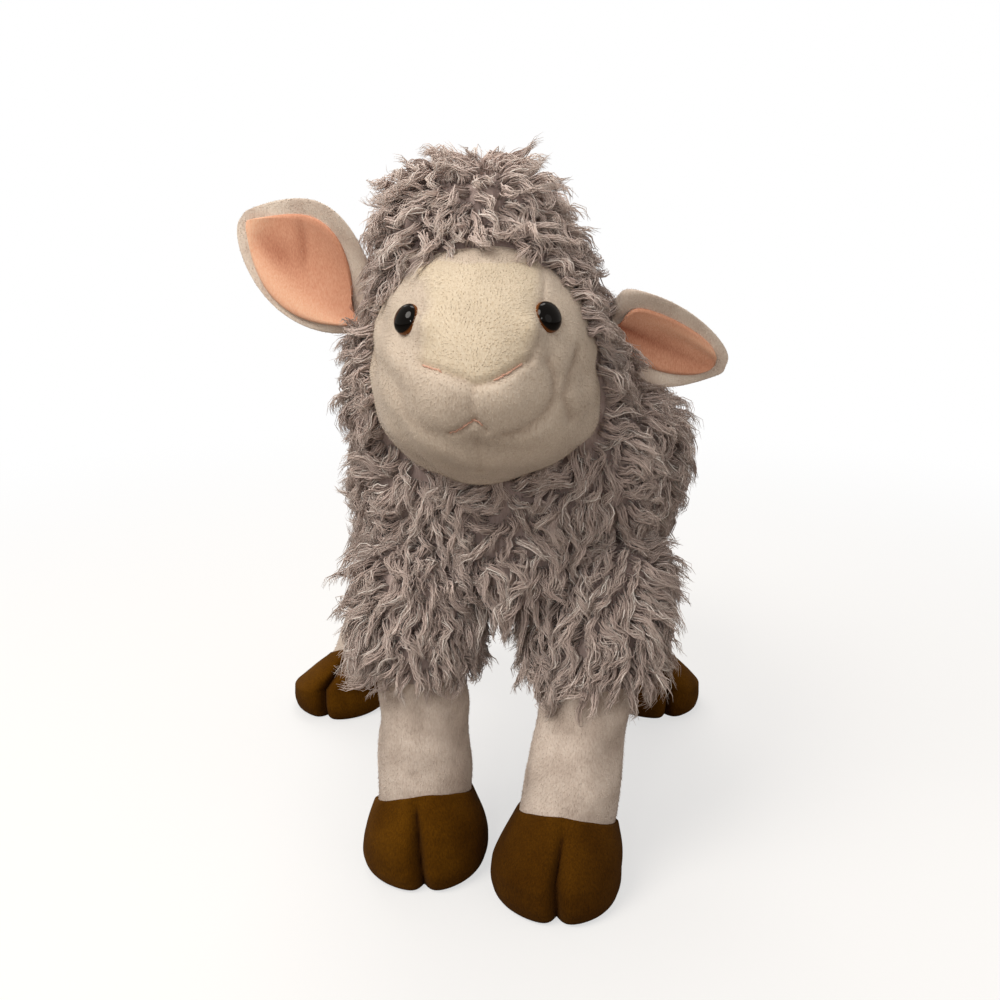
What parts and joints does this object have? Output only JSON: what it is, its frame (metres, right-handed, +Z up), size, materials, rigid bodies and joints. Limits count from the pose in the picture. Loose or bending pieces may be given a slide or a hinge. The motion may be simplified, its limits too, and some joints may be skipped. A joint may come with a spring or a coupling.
{
  "type": "plush sheep",
  "caption": "Standing stuffed toy sheep with curly fleece, plain plush face and shins, lined ears, button eyes and cloven felt hooves.",
  "frame": {"origin": "on the floor under the middle of the toy's box, between the four hooves", "axes": "+X to the sheep's own left, +Y towards its tail so that it faces -Y, +Z up"},
  "size_m": [0.2786, 0.3682, 0.3594],
  "materials": {
    "curly_fleece": "matte",
    "cream_plush": "matte",
    "pink_lining": "matte",
    "brown_felt": "matte",
    "fibre_filling": "matte",
    "eye_plastic": "gloss",
    "washer_plastic": "satin"
  },
  "bodies": {
    "torso": {"torso_panel_right": "curly_fleece", "torso_panel_left": "curly_fleece", "belly_panel": "curly_fleece", "torso_stuffing": "fibre_filling"},
    "head": {"head_hood": "curly_fleece", "face_panel": "cream_plush", "head_stuffing": "fibre_filling", "eye_right": "eye_plastic", "eye_washer_right": "washer_plastic", "eye_left": "eye_plastic", "eye_washer_left": "washer_plastic"},
    "right_ear": {"ear_cover_right": "cream_plush", "ear_lining_right": "pink_lining"},
    "left_ear": {"ear_cover_left": "cream_plush", "ear_lining_left": "pink_lining"},
    "front_right_leg": {"front_right_leg_fleece": "curly_fleece", "front_right_shin_cover": "cream_plush", "front_right_hoof_cover": "brown_felt", "front_right_hoof_sole": "brown_felt", "front_right_leg_stuffing": "fibre_filling"},
    "front_left_leg": {"front_left_leg_fleece": "curly_fleece", "front_left_shin_cover": "cream_plush", "front_left_hoof_cover": "brown_felt", "front_left_hoof_sole": "brown_felt", "front_left_leg_stuffing": "fibre_filling"},
    "rear_right_leg": {"rear_right_leg_fleece": "curly_fleece", "rear_right_shin_cover": "cream_plush", "rear_right_hoof_cover": "brown_felt", "rear_right_hoof_sole": "brown_felt", "rear_right_leg_stuffing": "fibre_filling"},
    "rear_left_leg": {"rear_left_leg_fleece": "curly_fleece", "rear_left_shin_cover": "cream_plush", "rear_left_hoof_cover": "brown_felt", "rear_left_hoof_sole": "brown_felt", "rear_left_leg_stuffing": "fibre_filling"},
    "tail": {"tail": "curly_fleece"}
  },
  "joints": [
    {"name": "head_nod", "type": "hinge", "parent": "torso", "child": "head", "pos_m": [-0.00196, -0.07771, 0.246], "axis": [0.9969, -0.0785, 0], "range_deg": [-12, 10], "stiffness_Nm_per_rad": 0.9},
    {"name": "right_ear_swing", "type": "hinge", "parent": "head", "child": "right_ear", "pos_m": [-0.06051, -0.09517, 0.281], "axis": [0.0785, 0.9969, 0], "range_deg": [-70, 4]},
    {"name": "left_ear_swing", "type": "hinge", "parent": "head", "child": "left_ear", "pos_m": [0.05314, -0.10412, 0.281], "axis": [0.0785, 0.9969, 0], "range_deg": [-50, 1]},
    {"name": "front_right_hip", "type": "hinge", "parent": "torso", "child": "front_right_leg", "pos_m": [-0.03696, -0.09571, 0.15], "axis": [1, 0, 0], "range_deg": [-15, 15], "stiffness_Nm_per_rad": 0.6},
    {"name": "front_left_hip", "type": "hinge", "parent": "torso", "child": "front_left_leg", "pos_m": [0.05504, -0.09571, 0.15], "axis": [1, 0, 0], "range_deg": [-15, 15], "stiffness_Nm_per_rad": 0.6},
    {"name": "rear_right_hip", "type": "hinge", "parent": "torso", "child": "rear_right_leg", "pos_m": [-0.04096, 0.08429, 0.15], "axis": [1, 0, 0], "range_deg": [-12, 15], "stiffness_Nm_per_rad": 0.6},
    {"name": "rear_left_hip", "type": "hinge", "parent": "torso", "child": "rear_left_leg", "pos_m": [0.05904, 0.08429, 0.15], "axis": [1, 0, 0], "range_deg": [-12, 15], "stiffness_Nm_per_rad": 0.6},
    {"name": "tail_wag", "type": "hinge", "parent": "torso", "child": "tail", "pos_m": [0.00904, 0.14729, 0.205], "axis": [1, 0, 0], "range_deg": [-8, 45], "stiffness_Nm_per_rad": 0.02}
  ]
}
